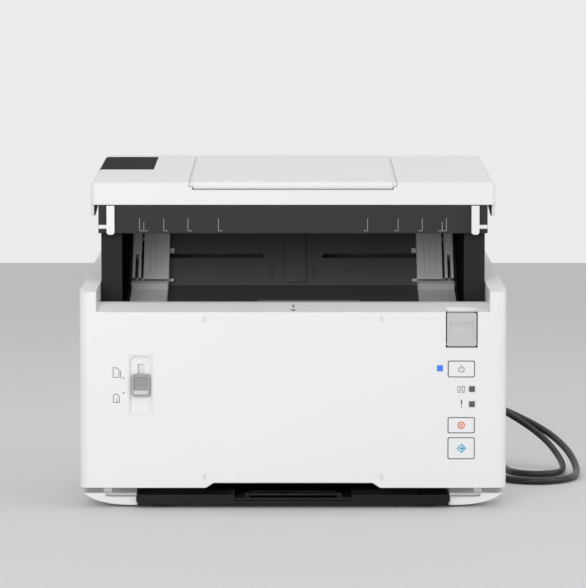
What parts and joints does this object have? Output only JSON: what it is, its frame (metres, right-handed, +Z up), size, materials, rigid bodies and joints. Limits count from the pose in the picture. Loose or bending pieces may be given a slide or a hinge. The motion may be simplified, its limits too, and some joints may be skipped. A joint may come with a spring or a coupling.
{
  "type": "document scanner",
  "caption": "Desktop sheet-fed document scanner with a raised hinged top cover, sliding edge guides, a front cover that tips open and a pull-out output tray.",
  "frame": {"origin": "on the table, under the middle of the body without its leads", "axes": "+X to the right as the user sees it, +Y to the back, +Z up"},
  "size_m": [0.3713, 0.2874, 0.2476],
  "materials": {
    "white_case": "fine satin moulding",
    "white_cover": "satin moulding",
    "chute_black": "fine matt grain",
    "guide_grey": "satin moulding",
    "lever_grey": "satin moulding",
    "tray_black": "semi gloss",
    "inset_dark": "satin",
    "key_white": "satin",
    "slider_grey": "satin",
    "lens_clear": "clear lens",
    "frame_steel": "zinc plated sheet",
    "pin_steel": "ground",
    "roller_rubber": "ground rubber",
    "gear_white": "natural acetal",
    "bush_brown": "oil filled",
    "belt_black": "cord belt",
    "board_green": "solder resist",
    "sensor_black": "sensor bar with its glass strip",
    "socket_black": "moulded",
    "cable_black": "soft jacket",
    "plug_black": "moulded",
    "foot_rubber": "soft"
  },
  "bodies": {
    "base": {"lower_case": "white_case", "hinge_pins": "pin_steel", "rubber_feet": "foot_rubber", "side_covers": "white_case", "rear_cover": "white_case", "screws": "pin_steel", "feed_chute": "chute_black", "side_arms": "chute_black", "side_frames": "frame_steel", "cross_members": "frame_steel", "shaft_bushes": "bush_brown", "path_plate": "chute_black", "rear_sensor": "sensor_black", "drive_motor": "frame_steel", "drive_belt": "belt_black", "main_board": "board_green", "rear_sockets": "socket_black", "power_plug": "plug_black", "power_lead": "cable_black", "power_lead_coil": "cable_black", "mains_adapter": "plug_black", "usb_plug": "plug_black", "usb_lead": "cable_black", "usb_lead_coil": "cable_black", "usb_far_plug": "plug_black"},
    "scanner_cover": {"front_cover": "white_cover", "front_inner_panel": "chute_black", "pick_flap": "guide_grey", "front_sensor": "sensor_black", "front_brackets": "chute_black", "front_shafts": "pin_steel", "control_board": "board_green", "indicator_lenses": "lens_clear"},
    "lever": {"cover_lever": "lever_grey"},
    "power_key": {"power_button": "key_white"},
    "stop_key": {"stop_button": "key_white"},
    "start_key": {"start_button": "key_white"},
    "separation_switch": {"switch_slider": "slider_grey"},
    "upper_pinch": {"upper_pinch_rollers": "roller_rubber"},
    "lower_pinch": {"lower_pinch_rollers": "roller_rubber"},
    "separation": {"separation_roller": "roller_rubber"},
    "pick": {"pick_shaft": "pin_steel", "pick_roller": "roller_rubber"},
    "feed": {"feed_shaft": "pin_steel", "feed_rollers": "roller_rubber", "feed_gear": "gear_white"},
    "exit": {"exit_roller": "roller_rubber"},
    "idler": {"idler_gear": "gear_white"},
    "pinion": {"motor_pinion": "gear_white"},
    "top_cover": {"lid_shell": "white_cover", "lid_inner": "chute_black", "lid_tabs": "key_white", "inset_panel": "inset_dark"},
    "cover_extension": {"lid_extension": "white_cover"},
    "left_guide": {"guide_left": "guide_grey"},
    "right_guide": {"guide_right": "guide_grey"},
    "guide_gear": {"guide_pinion": "gear_white"},
    "tray": {"output_tray": "tray_black"},
    "second_tray": {"tray_extension": "tray_black"},
    "tray_stop": {"stopper": "tray_black"}
  },
  "joints": [
    {"name": "scanner_cover_hinge", "type": "hinge", "parent": "base", "child": "scanner_cover", "pos_m": [0, -0.078, 0.0175], "axis": [1, 0, 0], "range_deg": [0, 60]},
    {"name": "cover_lever_tip", "type": "hinge", "parent": "scanner_cover", "child": "lever", "pos_m": [0.1166, -0.0808, 0.1138], "axis": [1, 0, 0], "range_deg": [0, 12], "stiffness_Nm_per_rad": 0.05, "springref_deg": -11.46},
    {"name": "power_button_press", "type": "slide", "parent": "scanner_cover", "child": "power_key", "axis": [0, 1, 0], "range_m": [0, 0.001], "stiffness_N_per_m": 600, "springref_m": -0.0005},
    {"name": "stop_button_press", "type": "slide", "parent": "scanner_cover", "child": "stop_key", "axis": [0, 1, 0], "range_m": [0, 0.001], "stiffness_N_per_m": 600, "springref_m": -0.0005},
    {"name": "start_button_press", "type": "slide", "parent": "scanner_cover", "child": "start_key", "axis": [0, 1, 0], "range_m": [0, 0.001], "stiffness_N_per_m": 600, "springref_m": -0.0005},
    {"name": "separation_switch_slide", "type": "slide", "parent": "scanner_cover", "child": "separation_switch", "axis": [0, 0, 1], "range_m": [0, 0.0103]},
    {"name": "upper_pinch_spin", "type": "hinge", "parent": "scanner_cover", "child": "upper_pinch", "pos_m": [0, -0.0618, 0.094], "axis": [1, 0, 0], "continuous": true},
    {"name": "lower_pinch_spin", "type": "hinge", "parent": "scanner_cover", "child": "lower_pinch", "pos_m": [0, -0.0618, 0.044], "axis": [1, 0, 0], "continuous": true},
    {"name": "separation_spin", "type": "hinge", "parent": "scanner_cover", "child": "separation", "pos_m": [0, -0.0663, 0.118], "axis": [1, 0, 0], "continuous": true},
    {"name": "feed_spin", "type": "hinge", "parent": "base", "child": "feed", "pos_m": [0, -0.0477, 0.094], "axis": [1, 0, 0], "continuous": true},
    {"name": "pick_spin", "type": "hinge", "parent": "base", "child": "pick", "pos_m": [0, -0.0457, 0.118], "axis": [1, 0, 0], "continuous": true},
    {"name": "exit_spin", "type": "hinge", "parent": "base", "child": "exit", "pos_m": [0, -0.0477, 0.044], "axis": [1, 0, 0], "continuous": true},
    {"name": "idler_spin", "type": "hinge", "parent": "base", "child": "idler", "pos_m": [0, -0.03958, 0.10541], "axis": [1, 0, 0], "continuous": true},
    {"name": "pinion_spin", "type": "hinge", "parent": "base", "child": "pinion", "pos_m": [0, -0.03569, 0.08903], "axis": [1, 0, 0], "continuous": true},
    {"name": "top_cover_hinge", "type": "hinge", "parent": "base", "child": "top_cover", "pos_m": [0, 0.05, 0.229], "axis": [-1, 0, 0], "range_deg": [0, 100]},
    {"name": "cover_extension_slide", "type": "slide", "parent": "top_cover", "child": "cover_extension", "axis": [0, -0.9809, -0.1945], "range_m": [0, 0.085]},
    {"name": "left_guide_slide", "type": "slide", "parent": "base", "child": "left_guide", "axis": [1, 0, 0], "range_m": [-0.015, 0.064]},
    {"name": "right_guide_slide", "type": "slide", "parent": "base", "child": "right_guide", "axis": [1, 0, 0], "range_m": [-0.0641, 0.0151]},
    {"name": "guide_gear_spin", "type": "hinge", "parent": "base", "child": "guide_gear", "pos_m": [0, 0.02678, 0.1725], "axis": [0, 1, 0], "range_deg": [-108, 459]},
    {"name": "tray_slide", "type": "slide", "parent": "base", "child": "tray", "axis": [0, -1, 0], "range_m": [0, 0.13]},
    {"name": "second_tray_slide", "type": "slide", "parent": "tray", "child": "second_tray", "axis": [0, -1, 0], "range_m": [0, 0.1]},
    {"name": "tray_stop_hinge", "type": "hinge", "parent": "second_tray", "child": "tray_stop", "pos_m": [0, -0.079, 0.0086], "axis": [1, 0, 0], "range_deg": [0, 90]}
  ],
  "couplings": [
    {"joint": "pick_spin", "follows": "feed_spin", "ratio": 1},
    {"joint": "exit_spin", "follows": "feed_spin", "ratio": 1},
    {"joint": "idler_spin", "follows": "feed_spin", "ratio": -1.3333},
    {"joint": "pinion_spin", "follows": "feed_spin", "ratio": -1.6},
    {"joint": "right_guide_slide", "follows": "left_guide_slide", "ratio": -1},
    {"joint": "guide_gear_spin", "follows": "left_guide_slide", "rad_per_m": 125}
  ]
}
